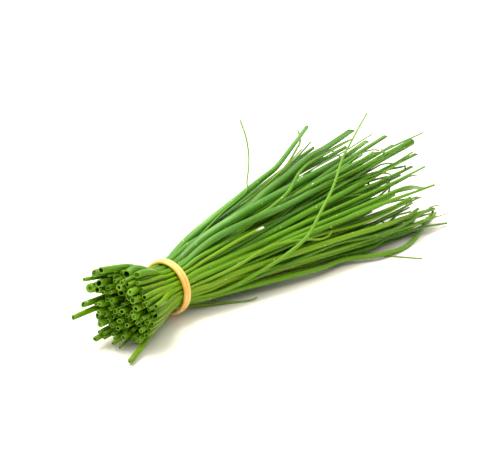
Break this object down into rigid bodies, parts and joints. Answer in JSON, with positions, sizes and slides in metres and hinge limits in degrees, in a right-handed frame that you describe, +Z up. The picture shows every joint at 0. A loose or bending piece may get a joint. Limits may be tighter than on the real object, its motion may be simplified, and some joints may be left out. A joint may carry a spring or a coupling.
{
  "type": "chive bunch",
  "caption": "Bunch of fresh chives lying on its side, held near the cut ends by a rubber band wound double.",
  "frame": {"origin": "on the surface that the bunch lies on, below the middle of its box", "axes": "+X along the leaves from the cut ends to the tips, +Z up from the surface, +Y to the left of someone looking from the cut ends to the tips"},
  "size_m": [0.2232, 0.086, 0.0558],
  "materials": {
    "fresh_leaf": null,
    "rubber_band": "smooth matte orange-yellow rubber"
  },
  "bodies": {
    "root": {"rubber_band": "rubber_band", "leaf_01": "fresh_leaf", "leaf_02": "fresh_leaf", "leaf_03": "fresh_leaf", "leaf_04": "fresh_leaf", "leaf_05": "fresh_leaf", "leaf_06": "fresh_leaf", "leaf_07": "fresh_leaf", "leaf_08": "fresh_leaf", "leaf_09": "fresh_leaf", "leaf_10": "fresh_leaf", "leaf_11": "fresh_leaf", "leaf_12": "fresh_leaf", "leaf_13": "fresh_leaf", "leaf_14": "fresh_leaf", "leaf_15": "fresh_leaf", "leaf_16": "fresh_leaf", "leaf_17": "fresh_leaf", "leaf_18": "fresh_leaf", "leaf_19": "fresh_leaf", "leaf_20": "fresh_leaf", "leaf_21": "fresh_leaf", "leaf_22": "fresh_leaf", "leaf_23": "fresh_leaf", "leaf_24": "fresh_leaf", "leaf_25": "fresh_leaf", "leaf_26": "fresh_leaf", "leaf_27": "fresh_leaf", "leaf_28": "fresh_leaf", "leaf_29": "fresh_leaf", "leaf_30": "fresh_leaf", "leaf_31": "fresh_leaf", "leaf_32": "fresh_leaf", "leaf_high": "fresh_leaf", "leaf_folded_tip": "fresh_leaf", "leaf_thick_upper": "fresh_leaf", "whisker_upright": "fresh_leaf", "whisker_slanting": "fresh_leaf", "leaf_sagging": "fresh_leaf", "leaf_low_thin": "fresh_leaf", "leaf_floor_stray": "fresh_leaf", "leaf_crossing": "fresh_leaf", "leaf_arching": "fresh_leaf", "leaf_hooked": "fresh_leaf", "leaf_short_top": "fresh_leaf", "leaf_kinked": "fresh_leaf", "leaf_long_yellow": "fresh_leaf", "leaf_long_low": "fresh_leaf", "leaf_low_side": "fresh_leaf", "leaf_tip_1": "fresh_leaf", "leaf_tip_2": "fresh_leaf", "leaf_tip_3": "fresh_leaf", "leaf_tip_4": "fresh_leaf", "leaf_tip_5": "fresh_leaf", "leaf_wisp": "fresh_leaf", "leaf_butt_stub": "fresh_leaf", "leaf_butt_splayed": "fresh_leaf", "leaf_butt_high": "fresh_leaf", "leaf_butt_top": "fresh_leaf", "leaf_butt_crossing": "fresh_leaf"}
  },
  "joints": []
}
